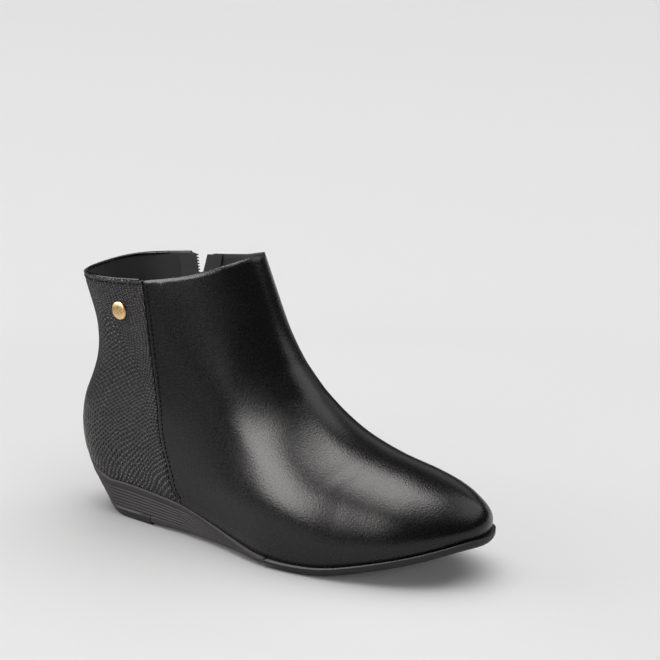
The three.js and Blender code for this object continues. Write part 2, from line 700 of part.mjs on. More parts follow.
const hides = {
  smoothLeather: new THREE.MeshStandardMaterial({ color: 0x161415, roughness: 0.34 }),
  embossedLeather: new THREE.MeshStandardMaterial({ color: 0x1c1a1b, roughness: 0.5 }),
  stackedWedge: new THREE.MeshStandardMaterial({ color: 0x2a282b, roughness: 0.6 }),
  rubber: new THREE.MeshStandardMaterial({ color: 0x232224, roughness: 0.7 }),
  sock: new THREE.MeshStandardMaterial({ color: 0x1a1718, roughness: 0.9 }),
  tape: new THREE.MeshStandardMaterial({ color: 0x121213, roughness: 0.9 }),
  zipMetal: new THREE.MeshStandardMaterial({ color: 0x1d1d1f, roughness: 0.3, metalness: 0.8 }),
  gold: new THREE.MeshStandardMaterial({ color: 0xd9a868, roughness: 0.2, metalness: 1 }),
};

function named(name, geometry, material) {
  const mesh = new THREE.Mesh(geometry, material);
  mesh.name = name;
  return mesh;
}

const boot = new THREE.Group();
const soles = makeSoles();
boot.add(
  named("outsole", fromSolid(soles.fore), hides.rubber),
  named("wedge", fromSolid(soles.wedge), hides.stackedWedge),
  named("heel_tip", fromSolid(soles.tip), hides.rubber),
  named("insole", makeInsole(), hides.sock),
  named("upper", makeUpper(), hides.smoothLeather),
  named("counter", makeCounter(), hides.embossedLeather),
  named("zip_tape_rear", makeTape(false), hides.tape),
  named("zip_tape_front", makeTape(true), hides.tape),
  named("zip_teeth_rear", makeTeeth(false), hides.zipMetal),
  named("zip_teeth_front", makeTeeth(true), hides.zipMetal),
);

const slider = named("zip_slider", makeSlider(), hides.zipMetal);
slider.applyMatrix4(sliderFrame());
const pull = named("zip_pull", makePull(), hides.zipMetal);
pull.applyMatrix4(sliderFrame().multiply(new THREE.Matrix4().makeTranslation(0, 0, pivotHeight)));
const badge = named("badge", makeBadge(), hides.gold);
const badgeFrame = faceFrame(-turnAhead("seam", badgeLevel, -badgeAlong), badgeLevel);
badge.applyMatrix4(badgeFrame.multiply(new THREE.Matrix4().makeTranslation(0, 0, badgeSeat - counterStep)));
boot.add(slider, pull, badge);

// The origin is on the floor, under the middle of the boot's box.
const bounds = new THREE.Box3().setFromObject(boot);
const middle = bounds.getCenter(new THREE.Vector3());
boot.position.set(-middle.x, -middle.y, -bounds.min.z);

export default boot;
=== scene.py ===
# %% [markdown]
# # A wedge ankle boot in black leather
# The boot's solids come from a CAD model: a hollow upper, a heel panel, a ribbed wedge, a rubber sole, a
# zip and a small stud. This script dresses them. It rounds the faceted shells, lays in the soft creases of
# the leather, sews the seams, sets the zip's teeth and gives each surface the finish of its real material.

import math

import bmesh
import bpy
from mathutils import Matrix, Vector
from mathutils.bvhtree import BVHTree


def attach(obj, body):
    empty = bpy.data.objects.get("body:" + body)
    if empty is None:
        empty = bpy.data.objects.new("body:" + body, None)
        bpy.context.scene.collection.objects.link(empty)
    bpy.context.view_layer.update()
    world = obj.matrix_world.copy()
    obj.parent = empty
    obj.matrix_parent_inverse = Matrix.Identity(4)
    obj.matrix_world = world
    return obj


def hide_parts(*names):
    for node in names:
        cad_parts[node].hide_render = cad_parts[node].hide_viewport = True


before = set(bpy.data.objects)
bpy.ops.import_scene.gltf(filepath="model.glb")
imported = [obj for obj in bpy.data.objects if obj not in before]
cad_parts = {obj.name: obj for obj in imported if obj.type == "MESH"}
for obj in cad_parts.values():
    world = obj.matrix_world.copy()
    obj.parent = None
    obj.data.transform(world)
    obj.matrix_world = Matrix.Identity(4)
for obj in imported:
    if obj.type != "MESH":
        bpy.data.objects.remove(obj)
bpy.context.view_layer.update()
MM = 0.001
print("nodes", sorted(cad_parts))

# %% [markdown]
# ## Camera
# The photograph was taken with a long lens from a little above, in front of the boot's outer side. A long
# lens keeps near and far parts almost the same size. The place, the aim and the focal length were fitted
# to the boot's outline, so the render and the photograph can be laid over each other.

# %% Camera
CAMERA_PLACE = Vector((838.9, -1244.2, 566.8)) * MM
CAMERA_AIM = Vector((32.26, 3.15, 124.85)) * MM
FOCAL_LENGTH = 156.6
SENSOR_WIDTH = 36


def link(name, data):
    """A new object at the origin for a mesh, a curve, a lamp or a camera."""
    made = bpy.data.objects.new(name, data)
    bpy.context.scene.collection.objects.link(made)
    return made


camera_data = bpy.data.cameras.new("camera")
camera_data.sensor_width = SENSOR_WIDTH
camera_data.lens = FOCAL_LENGTH
camera_data.clip_start = 0.05
camera_data.clip_end = 50
camera = link("camera", camera_data)
camera.location = CAMERA_PLACE
camera.rotation_euler = (CAMERA_AIM - CAMERA_PLACE).to_track_quat("-Z", "Y").to_euler()
bpy.context.scene.camera = camera
print("camera distance", round((CAMERA_AIM - CAMERA_PLACE).length, 3), "m")

# %% [markdown]
# ## Helpers
# Each material below is a small tree of nodes, so a few short functions start a tree, add a node with its
# settings and turn colour codes, which are made for screens, to the linear values that the shader needs.

# %% Colours, nodes and materials
def srgb(code):
    """Linear colour, with alpha 1, of a hex code such as 1a2b3c."""
    parts = [int(code[i : i + 2], 16) / 255 for i in (0, 2, 4)]
    return tuple(p / 12.92 if p <= 0.04045 else ((p + 0.055) / 1.055) ** 2.4 for p in parts) + (1.0,)


def add(tree, kind, inputs=None, **settings):
    """A new node with its settings. Each input is a value or the socket that feeds it."""
    made = tree.nodes.new(kind)
    for name, value in settings.items():
        setattr(made, name, value)
    for socket, value in (inputs or {}).items():
        if isinstance(value, bpy.types.NodeSocket):
            tree.links.new(value, made.inputs[socket])
        else:
            made.inputs[socket].default_value = value
    return made


def material(name):
    """A new material and its empty tree."""
    made = bpy.data.materials.new(name)
    made.use_nodes = True
    made.node_tree.nodes.clear()
    return made, made.node_tree


def keep(bm, name):
    """A finished bmesh as a new object at the origin."""
    mesh = bpy.data.meshes.new(name)
    bm.to_mesh(mesh)
    bm.free()
    return link(name, mesh)


# %% [markdown]
# ## Floor and light
# Black glossy leather shows almost no colour of its own. What it shows is the lights, mirrored softly. So
# the lamps are placed from the photograph's highlights: a big soft box at the left lights the side of the
# vamp, one overhead lights the toe's ridge, and two weak ones behind light the edges that face away. They
# are seen in reflections only. The white floor is lit evenly by a wide lamp above and three low ones round
# the boot, which reflections don't see. In a studio, flags do that.

# %% Floor
FLOOR_REACH = 12.0
floor_paint, tree = material("painted_studio_floor")
shader = add(tree, "ShaderNodeBsdfPrincipled", {"Base Color": srgb("e9e9e9"), "Roughness": 0.85})
add(tree, "ShaderNodeOutputMaterial", {"Surface": shader.outputs[0]})

bm = bmesh.new()
bmesh.ops.create_grid(bm, x_segments=1, y_segments=1, size=FLOOR_REACH)
floor = keep(bm, "floor")
floor.data.materials.append(floor_paint)
print("floor", 2 * FLOOR_REACH, "m wide")

# %% Lamps
LIT_MIDDLE = Vector((0, 0, 60)) * MM
WARM_WHITE = (1.0, 0.975, 0.965)
WHITE = (1.0, 1.0, 1.0)


def soft_box(name, azimuth, elevation, distance, size, radiance, mirrored=True):
    """A rectangular lamp that faces the boot. Azimuth 0 is the outer side, 90 the toe. Sizes in metres.

    A mirrored lamp shows in reflections only, any other only as diffuse light.
    """
    data = bpy.data.lights.new(name, "AREA")
    data.shape = "RECTANGLE"
    data.size, data.size_y = size
    data.energy = radiance * math.pi * size[0] * size[1]
    data.color = WARM_WHITE if mirrored else WHITE
    made = link(name, data)
    a, e = math.radians(azimuth), math.radians(elevation)
    towards = Vector((math.sin(a) * math.cos(e), -math.cos(a) * math.cos(e), math.sin(e)))
    made.location = LIT_MIDDLE + towards * distance
    made.rotation_euler = (-towards).to_track_quat("-Z", "Y").to_euler()
    made.visible_diffuse = not mirrored
    made.visible_glossy = mirrored


soft_box("left_box", -37, 29, 2.0, (2.0, 1.2), 9.8)
soft_box("overhead_box", -30, 80, 2.4, (1.7, 1.7), 8.6)
soft_box("back_box", 125, 45, 2.4, (1.9, 1.6), 2.0)
soft_box("wall_behind", 180, 26, 3.0, (2.4, 1.2), 0.5)
soft_box("floor_fill", 180, 75, 6.0, (9.0, 9.0), 1.75, mirrored=False)
soft_box("low_fill_toe", 70, 16, 5.0, (5.0, 2.4), 2.4, mirrored=False)
soft_box("low_fill_heel", -75, 16, 5.0, (5.0, 2.4), 2.7, mirrored=False)
soft_box("low_fill_front", 0, 14, 5.0, (5.0, 2.4), 0.7, mirrored=False)

# %% [markdown]
# A low ring of black card stands round the boot. It keeps the pale floor out of the glaze, which would
# mirror it at a glance and turn the lower edges grey. The camera looks past it, and it throws no shadow.

# %% Black card and surroundings
RING_RADIUS = 380 * MM
RING_HEIGHT = 75 * MM
RING_FOOT = 1 * MM
black_card, tree = material("black_card")
shader = add(tree, "ShaderNodeBsdfPrincipled", {"Base Color": srgb("050505"), "Roughness": 1.0})
add(tree, "ShaderNodeOutputMaterial", {"Surface": shader.outputs[0]})

bm = bmesh.new()
bmesh.ops.create_cone(
    bm, segments=64, radius1=RING_RADIUS, radius2=RING_RADIUS, depth=RING_HEIGHT, cap_ends=False
)
bmesh.ops.translate(bm, vec=(0.0, 0.0, RING_FOOT + RING_HEIGHT / 2), verts=bm.verts)
ring = keep(bm, "black_card_ring")
ring.data.materials.append(black_card)
ring.visible_camera = False
ring.visible_diffuse = False
ring.visible_shadow = False

world = bpy.data.worlds.new("studio")
world.use_nodes = True
world.node_tree.nodes["Background"].inputs["Color"].default_value = srgb("e4e4e4")
world.node_tree.nodes["Background"].inputs["Strength"].default_value = 0.04
bpy.context.scene.world = world
bpy.context.scene.view_settings.view_transform = "Standard"
print("card ring", len(ring.data.polygons), "faces")

# %% [markdown]
# ## Rounding the shells
# The solids are faceted, with a corner every few millimetres. A subdivision surface rounds them, as the
# last does the leather. It needs four-sided faces with shared corners, so a copy of each mesh is merged and
# its triangles are joined to quads. Edges that are sharp on the real boot get a crease weight and keep
# their shape.

# %% Smooth copies of the solids
WELD_GAP = 0.002 * MM
LASTED_HEIGHT = 32 * MM


def smooth_copy(node, name, levels, corner=32, weight=0.85):
    """A subdivided copy of a CAD node. Edges that turn by more than the corner angle are creased.

    Low edges, where the upper is lasted and cemented to the sole, stay quite sharp.
    """
    bm = bmesh.new()
    bm.from_mesh(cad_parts[node].data)
    bmesh.ops.remove_doubles(bm, verts=bm.verts, dist=WELD_GAP)
    bmesh.ops.join_triangles(
        bm,
        faces=bm.faces,
        angle_face_threshold=math.radians(40),
        angle_shape_threshold=math.radians(60),
    )
    crease = bm.edges.layers.float.new("crease_edge")
    for edge in bm.edges:
        if len(edge.link_faces) == 2 and edge.calc_face_angle() > math.radians(corner):
            low = min(v.co.z for v in edge.verts) < LASTED_HEIGHT
            edge[crease] = 1.0 if low else weight
    three = sum(len(f.verts) == 3 for f in bm.faces)
    print(name, "quads", len(bm.faces) - three, "triangles", three)
    made = keep(bm, name)
    rounding = made.modifiers.new("rounding", "SUBSURF")
    rounding.levels = levels
    rounding.render_levels = levels
    finished = bpy.data.meshes.new_from_object(made.evaluated_get(bpy.context.evaluated_depsgraph_get()))
    made.modifiers.clear()
    made.data = finished
    finished.shade_smooth()
    return made


upper = smooth_copy("upper", "leather_upper", 2, weight=0.95)
counter = smooth_copy("counter", "embossed_panel", 2)
wedge = smooth_copy("wedge", "ribbed_wedge", 2, corner=40)
outsole = smooth_copy("outsole", "rubber_sole", 2)
heel_tip = smooth_copy("heel_tip", "top_lift", 1)
insole = smooth_copy("insole", "sock", 2)
for piece, node, slot in (
    (upper, "upper", "smooth_leather"),
    (counter, "counter", "embossed_leather"),
    (wedge, "wedge", "wedge_stack"),
    (outsole, "outsole", "outsole_rubber"),
    (heel_tip, "heel_tip", "outsole_rubber"),
    (insole, "insole", "sock_lining"),
):
    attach(piece, "boot")
    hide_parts(node)

# %% [markdown]
# ## Lip of the wedge
# Right at the back the moulded wedge rises a few millimetres over the foot of the heel panel, as a thin
# lip. The solids stop at the feather line there, so the wedge's rim is lifted here and laid just outside
# the panel, found with a ray from behind. Only points that lie against the panel move, and the lift grows
# smoothly over the last 27 mm.

# %% Wedge lip
LIP_RISE = 5.5
LIP_START = -96.0
LIP_LENGTH = 27.0
LIP_COVER = 0.35
LIP_REACH = 1.2
LIP_SETTLE = 4
RAY_START = 20
HEEL_MIDDLE = Vector((-92, 3, 0)) * MM


def surface_of(piece):
    """A tree for finding the nearest point of a piece."""
    return BVHTree.FromObject(piece, bpy.context.evaluated_depsgraph_get())


panel_skin = surface_of(counter)
raised = 0
for vertex in wedge.data.vertices:
    share = min(1.0, (LIP_START - vertex.co.x / MM) / LIP_LENGTH)
    if share < 0.02 or panel_skin.find_nearest(vertex.co)[3] > LIP_REACH * MM:
        continue
    share = share * share * (3 - 2 * share)
    outwards = ((vertex.co - HEEL_MIDDLE) * Vector((1, 1, 0))).normalized()
    lifted = vertex.co + Vector((0, 0, LIP_RISE * share * MM))
    spot = panel_skin.ray_cast(lifted + outwards * RAY_START * MM, -outwards)[0]
    if spot is None:
        continue
    vertex.co = lifted.lerp(spot + outwards * LIP_COVER * MM, min(1.0, share * LIP_SETTLE))
    raised += 1
wedge.data.update()
print("lip points", raised)

# %% [markdown]
# ## Creases from lasting and wear
# Leather folds where the foot bends: across the ball, and in front of the ankle. On this boot the folds are
# new and soft. Each is a guide line on the leather with a width and a height: the skin near the line is
# pressed in, or raised, along its own normals, and the effect fades to about a fifth at both ends of the
# line.
# Only the outer skin moves. It is told from the lining by looking from the hollow's middle line, the spine.

# %% The hollow's middle line
MIDDLE_Y = 3
SPINE = [(-96, 140), (-94, 100), (-90, 60), (-60, 30), (0, 24), (60, 24), (110, 30)]


def spine_point(co):
    """The point of the boot's hollow that a place on the shell looks at."""
    best = None
    for (x0, z0), (x1, z1) in zip(SPINE, SPINE[1:]):
        a, b = Vector((x0, MIDDLE_Y, z0)) * MM, Vector((x1, MIDDLE_Y, z1)) * MM
        t = max(0.0, min(1.0, (co - a).dot(b - a) / (b - a).length_squared))
        p = a.lerp(b, t)
        if best is None or (co - p).length < (co - best).length:
            best = p
    return best


print("spine from", SPINE[0], "to", SPINE[-1])

# %% Folding the skin
FACING = 0.25
FOLD_REACH = 3
FOLD_END = 0.02
FOLD_FADE = 0.6


def fold(piece, folds):
    """Moves a piece's outer skin along its normals. Each fold is a line, a width and a height, in mm."""
    mesh = piece.data
    normals = [Vector(v.normal) for v in mesh.vertices]
    places = [Vector(v.co) / MM for v in mesh.vertices]
    moved = [0.0] * len(places)
    for line, width, height in folds:
        points = [Vector(p) for p in line]
        lengths = [(b - a).length for a, b in zip(points, points[1:])]
        whole = sum(lengths)
        low = [min(p[k] for p in points) - FOLD_REACH * width for k in range(3)]
        high = [max(p[k] for p in points) + FOLD_REACH * width for k in range(3)]
        for i, place in enumerate(places):
            if any(place[k] < low[k] or place[k] > high[k] for k in range(3)):
                continue
            nearest, share, start = None, 0.0, 0.0
            for a, b, length in zip(points, points[1:], lengths):
                t = max(0.0, min(1.0, (place - a).dot(b - a) / length**2))
                gap = (place - a.lerp(b, t)).length
                if nearest is None or gap < nearest:
                    nearest, share = gap, (start + t * length) / whole
                start += length
            outwards = normals[i].dot((place - spine_point(place * MM) / MM).normalized())
            if outwards < FACING:
                continue
            fade = math.sin(math.pi * max(FOLD_END, min(1 - FOLD_END, share))) ** FOLD_FADE
            moved[i] += height * fade * math.exp(-((nearest / width) ** 2))
    for vertex, normal, height in zip(mesh.vertices, normals, moved):
        vertex.co += normal * height * MM
    mesh.update()
    print(piece.name, "folds", len(folds), "skin moved at", sum(h != 0 for h in moved), "points")


# %% Creases
VAMP_VALLEY = [(6.8, -14.9, 93.8), (18.2, -17.5, 79.5), (31.8, -22.4, 66.2)]
VAMP_VALLEY += [(45.5, -26.7, 55.9), (56.5, -28.9, 49)]
BALL_SWELL = [(60, -36, 36), (76, -33, 32), (92, -29, 30), (104, -24, 29)]
ANKLE_FRONT = [(2, -20, 104), (10, -9, 103), (14, 3, 101), (12, 15, 102), (5, 24, 104)]
ANKLE_LOW = [(12, -22, 88), (22, -10, 88), (27, 3, 87), (25, 15, 88), (16, 25, 89)]
BALL_CREASE = [(46, -33, 47), (57, -21, 57), (62, -6, 61.5), (62, 8, 61.5), (58, 22, 56)]
BALL_FINE = [(58, -30, 45), (68, -18, 54), (72, -4, 57.5), (72, 9, 57), (68, 22, 51)]
INNER_VALLEY = [(8, 25, 92), (22, 30, 74), (38, 36, 58), (54, 38, 46)]
fold(
    upper,
    [
        (VAMP_VALLEY, 9.0, -0.35),
        (BALL_SWELL, 15.0, 0.9),
        (ANKLE_FRONT, 3.4, -0.32),
        (ANKLE_LOW, 3.6, -0.28),
        (BALL_CREASE, 2.6, -0.2),
        (BALL_FINE, 2.2, -0.16),
        (INNER_VALLEY, 9.0, -0.5),
    ],
)

# %% [markdown]
# ## Smooth black leather
# The vamp is full-grain calf, dyed black and finished with a satin glaze. The dye gives almost no colour.
# The glaze gives broad grey highlights, and the grain breaks them into specks. It is a pattern of small
# cells mixed with finer noise, and its high places are a little duller. Real grain is about 0.3 mm across,
# too fine to show here, so it is drawn at 0.72 mm.

# %% Smooth leather
GRAIN = 0.72 * MM
GRAIN_DEPTH = 0.12 * MM
smooth_leather, tree = material("glazed_calf_leather")
place = add(tree, "ShaderNodeTexCoord").outputs["Object"]
cells = add(
    tree,
    "ShaderNodeTexVoronoi",
    {"Vector": place, "Scale": 1 / GRAIN, "Randomness": 0.9},
    feature="SMOOTH_F1",
)
pores = add(tree, "ShaderNodeTexNoise", {"Vector": place, "Scale": 0.6 / GRAIN, "Detail": 3.0})
grain = add(
    tree,
    "ShaderNodeMix",
    {0: 0.35, 2: cells.outputs["Distance"], 3: pores.outputs[0]},
    data_type="FLOAT",
)
bump = add(
    tree, "ShaderNodeBump", {"Height": grain.outputs[0], "Strength": 1.0, "Distance": GRAIN_DEPTH}
)
gloss = add(
    tree,
    "ShaderNodeMapRange",
    {"Value": grain.outputs[0], "From Min": 0.15, "From Max": 0.55, "To Min": 0.185, "To Max": 0.31},
)
patches = add(tree, "ShaderNodeTexNoise", {"Vector": place, "Scale": 30.0, "Detail": 2.0})
dye = add(
    tree,
    "ShaderNodeMix",
    {0: patches.outputs[0], 6: srgb("070607"), 7: srgb("0e0c0d")},
    data_type="RGBA",
)
shader = add(
    tree,
    "ShaderNodeBsdfPrincipled",
    {
        "Base Color": dye.outputs[2],
        "Roughness": gloss.outputs[0],
        "IOR": 1.41,
        "Normal": bump.outputs[0],
    },
)
add(tree, "ShaderNodeOutputMaterial", {"Surface": shader.outputs[0]})
upper.data.materials.append(smooth_leather)
print("grain", round(GRAIN / MM, 2), "mm")

# %% [markdown]
# ## Textile lining
# Inside, the boot is lined with a soft black knit, matt and a little furry at grazing angles. Its rows are
# about 0.6 mm apart. It is a second material on the inner faces of the same shell, because the lining is
# glued to the leather, and it covers the sock too.

# %% Lining
lining, tree = material("brushed_knit_lining")
place = add(tree, "ShaderNodeTexCoord").outputs["Object"]
knit = add(
    tree,
    "ShaderNodeTexWave",
    {"Vector": place, "Scale": 500.0, "Distortion": 2.0},
    bands_direction="Z",
)
bump = add(
    tree, "ShaderNodeBump", {"Height": knit.outputs["Fac"], "Strength": 0.4, "Distance": 0.2 * MM}
)
shader = add(
    tree,
    "ShaderNodeBsdfPrincipled",
    {
        "Base Color": srgb("0c0b0c"),
        "Roughness": 0.95,
        "Sheen Weight": 0.1,
        "Sheen Roughness": 0.5,
        "Normal": bump.outputs[0],
    },
)
add(tree, "ShaderNodeOutputMaterial", {"Surface": shader.outputs[0]})

insole.data.materials.append(lining)
upper.data.materials.append(lining)
inside = 0
for polygon in upper.data.polygons:
    towards = (spine_point(polygon.center) - polygon.center).normalized()
    if polygon.normal.dot(towards) > FACING:
        polygon.material_index = 1
        inside += 1
print("lining faces", inside, "of", len(upper.data.polygons))

# %% [markdown]
# ## Embossed heel panel
# The panel is cow leather pressed under a heated plate with a small lizard scale. The scales run in
# slanting, slightly curved rows that meet in a chevron. They follow the panel round the heel, so the
# pattern reads a UV map that unrolls the panel like a label: along its level sections, and upwards.

# %% Unrolling the panel
HEEL_LINE = [(18, -121), (25.2, -124.3), (31.6, -128.4), (42.7, -130.7), (54, -130.4), (65.5, -127.8)]
HEEL_LINE += [(76.5, -122.9), (88.8, -118.2), (100.7, -116.4), (112.6, -117.2), (125.1, -121.1)]
HEEL_LINE += [(150, -130)]
HEEL_RADIUS = 28.0
CHEVRON_TOP = 130
CHEVRON_BESIDE = 32
CHEVRON_LEAN = 0.73
CHEVRON_SOFTNESS = 4.0
ROW_SLOPE = 0.55


def heel_x(z):
    """X of the heel's back at a height, in mm."""
    for (z0, x0), (z1, x1) in zip(HEEL_LINE, HEEL_LINE[1:]):
        if z <= z1:
            break
    t = (z - z0) / (z1 - z0)
    return x0 + (x1 - x0) * t


def unrolled(co):
    """Place on the unrolled heel panel, in mm: round the heel, and up."""
    x, y, z = co / MM
    y -= MIDDLE_Y
    middle = heel_x(z) + HEEL_RADIUS
    if x < middle:
        along = HEEL_RADIUS * math.atan2(abs(y), middle - x)
    else:
        along = HEEL_RADIUS * math.pi / 2 + x - middle
    return math.copysign(along, y), z


def scale_rows(co):
    """The same place, with the rows of scales bent to a chevron that meets on a slanting line."""
    along, z = unrolled(co)
    beside = abs(along) - (CHEVRON_BESIDE + CHEVRON_LEAN * (CHEVRON_TOP - z))
    return along, z + ROW_SLOPE * math.hypot(beside, CHEVRON_SOFTNESS)


unroll = counter.data.uv_layers.new(name="unrolled")
for loop in counter.data.loops:
    unroll.data[loop.index].uv = scale_rows(counter.data.vertices[loop.vertex_index].co)
print("panel unrolled to", round(max(d.uv[0] for d in unroll.data)), "mm on the inner side")

# %% [markdown]
# A scale is about 2 mm long and 1.8 mm high. Each is one cell of a nearly regular pattern: its middle is
# pressed in and its rim stands up and is polished, while the hollow stays dull. The colour goes from dark
# grey on the rims to black in the hollows, as painted shade in the recesses.

# %% Embossed leather
SCALES_PER_MM = (0.5, 0.56, 1.0)
SWAY = 7.0
EMBOSSING = 0.9 * MM
embossed, tree = material("lizard_embossed_cowhide")
flat = add(tree, "ShaderNodeUVMap", uv_map="unrolled").outputs[0]
sway = add(tree, "ShaderNodeTexNoise", {"Vector": flat, "Scale": 0.035, "Detail": 1.0})
swayed = add(
    tree, "ShaderNodeVectorMath", {0: sway.outputs["Color"], 1: (SWAY, SWAY, 0.0)}, operation="MULTIPLY"
)
moved = add(tree, "ShaderNodeVectorMath", {0: flat, 1: swayed.outputs[0]}, operation="ADD")
sized = add(tree, "ShaderNodeMapping", {"Vector": moved.outputs[0], "Scale": SCALES_PER_MM})
scales = add(
    tree,
    "ShaderNodeTexVoronoi",
    {"Vector": sized.outputs[0], "Scale": 1.0, "Randomness": 0.22},
    feature="F1",
)
rims = add(
    tree,
    "ShaderNodeMapRange",
    {"Value": scales.outputs["Distance"], "From Min": 0.14, "From Max": 0.56},
    interpolation_type="SMOOTHSTEP",
)
bump = add(tree, "ShaderNodeBump", {"Height": rims.outputs[0], "Strength": 1.0, "Distance": EMBOSSING})
polish = add(tree, "ShaderNodeMapRange", {"Value": rims.outputs[0], "To Min": 0.95, "To Max": 0.22})
# The colour darkens from the rims to black in the hollows: painted shade in the recesses.
tone = add(
    tree,
    "ShaderNodeMix",
    {0: rims.outputs[0], 6: srgb("010101"), 7: srgb("2d2b2c")},
    data_type="RGBA",
)
shader = add(
    tree,
    "ShaderNodeBsdfPrincipled",
    {
        "Base Color": tone.outputs[2],
        "Roughness": polish.outputs[0],
        "IOR": 1.5,
        "Normal": bump.outputs[0],
    },
)
add(tree, "ShaderNodeOutputMaterial", {"Surface": shader.outputs[0]})
counter.data.materials.append(embossed)
print("scale length", 1 / SCALES_PER_MM[0], "mm")

# %% [markdown]
# ## Wedge, sole and top lift
# The wedge is a light moulded block, sprayed charcoal and finely scored to look like stacked leather. The
# grooves are in its solid, and the paint adds faint level streaks.

# %% Wedge
stack, tree = material("moulded_wedge_paint")
place = add(tree, "ShaderNodeTexCoord").outputs["Object"]
drawn = add(tree, "ShaderNodeMapping", {"Vector": place, "Scale": (0.04, 0.04, 1.0)})
streaks = add(tree, "ShaderNodeTexNoise", {"Vector": drawn.outputs[0], "Scale": 1500.0, "Detail": 3.0})
bump = add(
    tree, "ShaderNodeBump", {"Height": streaks.outputs[0], "Strength": 0.25, "Distance": 0.12 * MM}
)
tone = add(
    tree,
    "ShaderNodeMix",
    {0: streaks.outputs[0], 6: srgb("2b282a"), 7: srgb("353134")},
    data_type="RGBA",
)
shader = add(
    tree,
    "ShaderNodeBsdfPrincipled",
    {"Base Color": tone.outputs[2], "Roughness": 0.68, "IOR": 1.38, "Normal": bump.outputs[0]},
)
add(tree, "ShaderNodeOutputMaterial", {"Surface": shader.outputs[0]})
wedge.data.materials.append(stack)
print("painted", wedge.name)

# %% [markdown]
# The sole and the top lift are moulded rubber, a shade darker and quite matt. Shallow cross ribs, 4 mm
# apart, grip the floor. They are only wanted underneath, so they are switched on by the face's direction.

# %% Rubber
TREAD_PITCH = 4.0 * MM
WAVE_TURNS = 20
UNDERSIDE = -0.7
rubber, tree = material("moulded_rubber")
place = add(tree, "ShaderNodeTexCoord").outputs["Object"]
dust = add(tree, "ShaderNodeTexNoise", {"Vector": place, "Scale": 1200.0, "Detail": 2.0})
grained = add(
    tree, "ShaderNodeBump", {"Height": dust.outputs[0], "Strength": 0.25, "Distance": 0.1 * MM}
)
tread = add(
    tree,
    "ShaderNodeTexWave",
    {"Vector": place, "Scale": 2 * math.pi / (WAVE_TURNS * TREAD_PITCH)},
    bands_direction="X",
    wave_profile="TRI",
)
facing = add(tree, "ShaderNodeNewGeometry").outputs["True Normal"]
axes = add(tree, "ShaderNodeSeparateXYZ", {0: facing})
under = add(tree, "ShaderNodeMath", {0: axes.outputs[2], 1: UNDERSIDE}, operation="LESS_THAN")
ribs = add(tree, "ShaderNodeMath", {0: tread.outputs["Fac"], 1: under.outputs[0]}, operation="MULTIPLY")
bump = add(
    tree,
    "ShaderNodeBump",
    {"Height": ribs.outputs[0], "Strength": 1.0, "Distance": 0.6 * MM, "Normal": grained.outputs[0]},
)
tone = add(
    tree, "ShaderNodeMix", {0: dust.outputs[0], 6: srgb("171617"), 7: srgb("201e1f")}, data_type="RGBA"
)
shader = add(
    tree,
    "ShaderNodeBsdfPrincipled",
    {"Base Color": tone.outputs[2], "Roughness": 0.5, "IOR": 1.42, "Normal": bump.outputs[0]},
)
add(tree, "ShaderNodeOutputMaterial", {"Surface": shader.outputs[0]})
outsole.data.materials.append(rubber)
heel_tip.data.materials.append(rubber)
print("moulded", outsole.name, heel_tip.name)

# %% [markdown]
# ## Zip tapes, slider, pull and stud
# The tapes are woven polyester. Slider and pull are zinc castings under a thin black lacquer, and their
# edges are rounded by the mould. The CAD solids already have their shape, so they stay and get a bevel and
# a finish. The stud is brass with a pale gilt wash, satin rather than mirror bright. It is a smooth oval
# dome, so its solid is rounded by subdivision like the shells.

# %% Tape
tape_cloth, tree = material("woven_polyester_tape")
place = add(tree, "ShaderNodeTexCoord").outputs["Object"]
weave = add(tree, "ShaderNodeTexWave", {"Vector": place, "Scale": 700.0}, bands_direction="DIAGONAL")
bump = add(
    tree, "ShaderNodeBump", {"Height": weave.outputs["Fac"], "Strength": 0.5, "Distance": 0.15 * MM}
)
shader = add(
    tree,
    "ShaderNodeBsdfPrincipled",
    {"Base Color": srgb("121213"), "Roughness": 0.85, "Sheen Weight": 0.1, "Normal": bump.outputs[0]},
)
add(tree, "ShaderNodeOutputMaterial", {"Surface": shader.outputs[0]})
print("finish", tape_cloth.name)

# %% Lacquer
lacquer, tree = material("black_lacquered_zinc")
place = add(tree, "ShaderNodeTexCoord").outputs["Object"]
wear = add(tree, "ShaderNodeTexNoise", {"Vector": place, "Scale": 400.0, "Detail": 4.0})
gloss = add(
    tree,
    "ShaderNodeMapRange",
    {"Value": wear.outputs[0], "From Min": 0.3, "From Max": 0.7, "To Min": 0.22, "To Max": 0.36},
)
shader = add(
    tree,
    "ShaderNodeBsdfPrincipled",
    {"Base Color": srgb("17171a"), "Roughness": gloss.outputs[0], "IOR": 1.5, "Coat Weight": 0.3},
)
add(tree, "ShaderNodeOutputMaterial", {"Surface": shader.outputs[0]})
print("finish", lacquer.name)

# %% Gilt
gilt, tree = material("gilt_brass")
place = add(tree, "ShaderNodeTexCoord").outputs["Object"]
wear = add(tree, "ShaderNodeTexNoise", {"Vector": place, "Scale": 900.0, "Detail": 4.0})
gloss = add(
    tree,
    "ShaderNodeMapRange",
    {"Value": wear.outputs[0], "From Min": 0.3, "From Max": 0.7, "To Min": 0.26, "To Max": 0.38},
)
shader = add(
    tree,
    "ShaderNodeBsdfPrincipled",
    {"Base Color": srgb("f2cf96"), "Metallic": 1.0, "Roughness": gloss.outputs[0]},
)
add(tree, "ShaderNodeOutputMaterial", {"Surface": shader.outputs[0]})
print("finish", gilt.name)

# %% Fitting the finishes
TAPE_EDGE = 0.1
CAST_EDGE = 0.2
STUD_PROUD = 0.35


